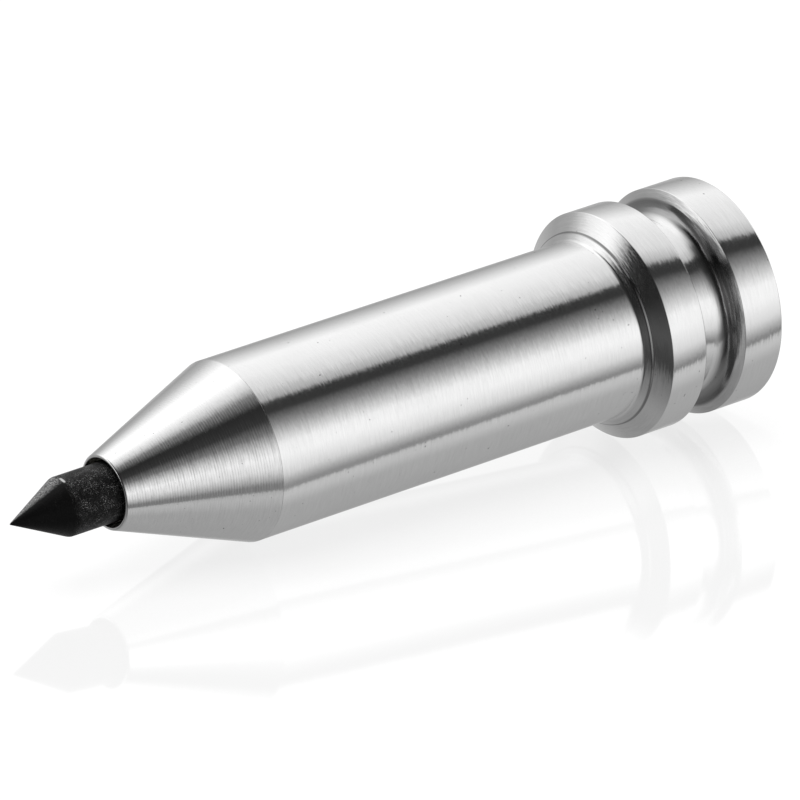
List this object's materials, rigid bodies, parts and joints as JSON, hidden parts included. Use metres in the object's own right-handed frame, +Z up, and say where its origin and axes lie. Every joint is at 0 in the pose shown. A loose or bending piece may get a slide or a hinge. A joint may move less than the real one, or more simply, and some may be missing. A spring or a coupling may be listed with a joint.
{
  "type": "live center",
  "caption": "Slim live center: straight flanged body with a retaining groove, conical nose cap and a black point that turns in ball bearings.",
  "frame": {"origin": "centre of the rear face, on the spindle axis", "axes": "+X along the spindle axis towards the point, +Z up, +Y completes the right-handed set"},
  "size_m": [0.0557, 0.0153, 0.0152],
  "materials": {
    "turned_body": "fine turned and lightly brushed",
    "turned_nose": "turned, with visible tool marks",
    "black_point": "blackened, matt",
    "ground_steel": "ground",
    "bearing_steel": "ground and honed",
    "polished_ball": "polished",
    "brass_cage": "satin",
    "shield_steel": "satin",
    "spring_steel": "blued",
    "dark_steel": "black oxide",
    "felt": "dense felt, oiled",
    "rubber": "smooth"
  },
  "bodies": {
    "body": {"housing": "turned_body", "nose_cap": "turned_nose", "nose_seal": "felt", "front_bearing_outer_ring": "bearing_steel", "front_bearing_shields": "shield_steel", "outer_spacer": "ground_steel", "thrust_bearing_housing_washer": "bearing_steel", "rear_bearing_outer_ring": "bearing_steel", "rear_bearing_shields": "shield_steel", "preload_wave_spring": "spring_steel", "spring_shim": "spring_steel", "end_plug": "turned_body", "end_plug_o_ring": "rubber"},
    "rotating_spindle": {"point": "black_point", "spindle": "ground_steel", "slinger_ring": "ground_steel", "front_bearing_inner_ring": "bearing_steel", "thrust_bearing_shaft_washer": "bearing_steel", "rear_bearing_inner_ring": "bearing_steel", "lock_washer": "spring_steel", "lock_nut": "dark_steel"},
    "front_ball_set": {"front_bearing_balls": "polished_ball", "front_bearing_cage": "brass_cage"},
    "rear_ball_set": {"rear_bearing_balls": "polished_ball", "rear_bearing_cage": "brass_cage"},
    "thrust_ball_set": {"thrust_bearing_balls": "polished_ball", "thrust_bearing_cage": "brass_cage"}
  },
  "joints": [
    {"name": "point_spin", "type": "hinge", "parent": "body", "child": "rotating_spindle", "pos_m": [0.0342, 0, 0], "axis": [1, 0, 0], "continuous": true},
    {"name": "front_ball_set_orbit", "type": "hinge", "parent": "body", "child": "front_ball_set", "pos_m": [0.0342, 0, 0], "axis": [1, 0, 0], "continuous": true},
    {"name": "rear_ball_set_orbit", "type": "hinge", "parent": "body", "child": "rear_ball_set", "pos_m": [0.018, 0, 0], "axis": [1, 0, 0], "continuous": true},
    {"name": "thrust_ball_set_orbit", "type": "hinge", "parent": "body", "child": "thrust_ball_set", "pos_m": [0.0272, 0, 0], "axis": [1, 0, 0], "continuous": true}
  ],
  "couplings": [
    {"joint": "front_ball_set_orbit", "follows": "point_spin", "ratio": 0.37785},
    {"joint": "rear_ball_set_orbit", "follows": "point_spin", "ratio": 0.35564},
    {"joint": "thrust_ball_set_orbit", "follows": "point_spin", "ratio": 0.5}
  ]
}
